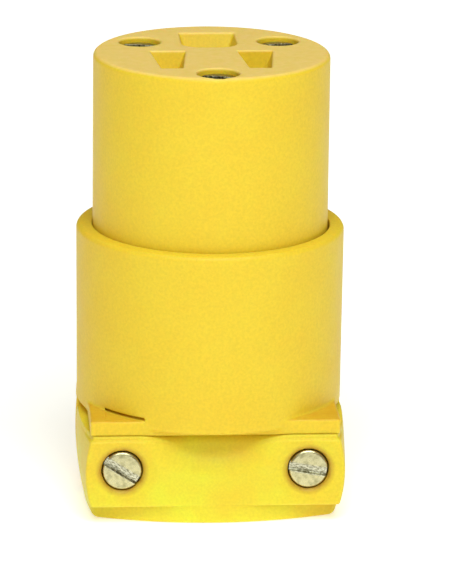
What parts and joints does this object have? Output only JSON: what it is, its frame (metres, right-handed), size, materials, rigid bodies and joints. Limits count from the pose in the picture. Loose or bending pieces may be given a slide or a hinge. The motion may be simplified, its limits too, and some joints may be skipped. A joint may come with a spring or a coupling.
{
  "type": "straight-blade cord connector",
  "caption": "Yellow round cord connector: a slotted face body held in a sleeve by long face screws, with wire terminals inside and a screwed cord clamp at its foot.",
  "frame": {"origin": "on the connector's axis, in the plane it stands on, under its cord clamp", "axes": "+Z along the axis towards the slotted face, -Y towards the clamp screws' heads"},
  "size_m": [0.0392, 0.0392, 0.0665],
  "materials": {
    "shell_vinyl": "satin, fine-grained moulded vinyl",
    "face_vinyl": "satin, fine-grained moulded vinyl",
    "jaw_vinyl": "satin, fine-grained moulded vinyl",
    "terminal_plastic": "dark rigid thermoset, matt",
    "contact_brass": "rolled brass strip, satin",
    "insert_brass": "knurled brass, satin",
    "plate_steel": "zinc-plated steel, satin",
    "screw_steel": "zinc-plated steel, turned head",
    "nut_steel": "zinc-plated steel, satin",
    "hot_screw_brass": "turned brass, satin",
    "neutral_screw_nickel": "nickel-plated brass, satin",
    "ground_screw_green": "green dyed steel, satin"
  },
  "bodies": {
    "shell": {"rear_shell": "shell_vinyl", "shell_insert_front": "insert_brass", "shell_insert_left": "insert_brass", "shell_insert_right": "insert_brass", "clamp_nut_left": "nut_steel", "clamp_nut_right": "nut_steel"},
    "front": {"front_body": "face_vinyl", "terminal_block": "terminal_plastic", "hot_contact": "contact_brass", "neutral_contact": "contact_brass", "ground_contact": "contact_brass"},
    "jaw": {"clamp_jaw": "jaw_vinyl"},
    "left_clamp_screw": {"clamp_screw_left": "screw_steel"},
    "right_clamp_screw": {"clamp_screw_right": "screw_steel"},
    "front_face_screw": {"face_screw_front": "screw_steel"},
    "left_face_screw": {"face_screw_left": "screw_steel"},
    "right_face_screw": {"face_screw_right": "screw_steel"},
    "hot_plate": {"hot_pressure_plate": "plate_steel"},
    "hot_screw": {"hot_terminal_screw": "hot_screw_brass"},
    "neutral_plate": {"neutral_pressure_plate": "plate_steel"},
    "neutral_screw": {"neutral_terminal_screw": "neutral_screw_nickel"},
    "ground_plate": {"ground_pressure_plate": "plate_steel"},
    "ground_screw": {"ground_terminal_screw": "ground_screw_green"}
  },
  "joints": [
    {"name": "clamp_screw_left_turn", "type": "hinge", "parent": "jaw", "child": "left_clamp_screw", "pos_m": [-0.01355, -0.0149, 0.0081], "axis": [0, -1, 0], "range_deg": [-270, 1440]},
    {"name": "clamp_screw_right_turn", "type": "hinge", "parent": "jaw", "child": "right_clamp_screw", "pos_m": [0.01355, -0.0149, 0.0081], "axis": [0, -1, 0], "range_deg": [-270, 1440]},
    {"name": "clamp_jaw_slide", "type": "slide", "parent": "shell", "child": "jaw", "axis": [0, -1, 0], "range_m": [-0.00059, 0.00317]},
    {"name": "face_screw_front_turn", "type": "hinge", "parent": "front", "child": "front_face_screw", "pos_m": [0, -0.0136, 0.0638], "axis": [0, 0, 1], "range_deg": [0, 4320]},
    {"name": "face_screw_left_turn", "type": "hinge", "parent": "front", "child": "left_face_screw", "pos_m": [-0.01014, 0.00669, 0.0638], "axis": [0, 0, 1], "range_deg": [0, 4320]},
    {"name": "face_screw_right_turn", "type": "hinge", "parent": "front", "child": "right_face_screw", "pos_m": [0.01014, 0.00669, 0.0638], "axis": [0, 0, 1], "range_deg": [0, 4320]},
    {"name": "front_body_slide", "type": "slide", "parent": "shell", "child": "front", "axis": [0, 0, 1], "range_m": [0, 0.00952]},
    {"name": "hot_screw_turn", "type": "hinge", "parent": "hot_plate", "child": "hot_screw", "pos_m": [-0.0114, -0.0039, 0.0298], "axis": [-1, 0, 0], "range_deg": [-90, 1080]},
    {"name": "hot_plate_slide", "type": "slide", "parent": "front", "child": "hot_plate", "axis": [-1, 0, 0], "range_m": [-0.0002, 0.00238]},
    {"name": "neutral_screw_turn", "type": "hinge", "parent": "neutral_plate", "child": "neutral_screw", "pos_m": [0.0114, -0.0039, 0.0298], "axis": [1, 0, 0], "range_deg": [-90, 1080]},
    {"name": "neutral_plate_slide", "type": "slide", "parent": "front", "child": "neutral_plate", "axis": [1, 0, 0], "range_m": [-0.0002, 0.00238]},
    {"name": "ground_screw_turn", "type": "hinge", "parent": "ground_plate", "child": "ground_screw", "pos_m": [0, 0.0114, 0.0298], "axis": [0, 1, 0], "range_deg": [-90, 1080]},
    {"name": "ground_plate_slide", "type": "slide", "parent": "front", "child": "ground_plate", "axis": [0, 1, 0], "range_m": [-0.0002, 0.00238]}
  ],
  "couplings": [
    {"joint": "clamp_screw_left_turn", "follows": "clamp_jaw_slide", "rad_per_m": 7915.8},
    {"joint": "clamp_screw_right_turn", "follows": "clamp_jaw_slide", "rad_per_m": 7915.8},
    {"joint": "face_screw_front_turn", "follows": "front_body_slide", "rad_per_m": 7915.8},
    {"joint": "face_screw_left_turn", "follows": "front_body_slide", "rad_per_m": 7915.8},
    {"joint": "face_screw_right_turn", "follows": "front_body_slide", "rad_per_m": 7915.8},
    {"joint": "hot_screw_turn", "follows": "hot_plate_slide", "rad_per_m": 7915.8},
    {"joint": "neutral_screw_turn", "follows": "neutral_plate_slide", "rad_per_m": 7915.8},
    {"joint": "ground_screw_turn", "follows": "ground_plate_slide", "rad_per_m": 7915.8}
  ]
}
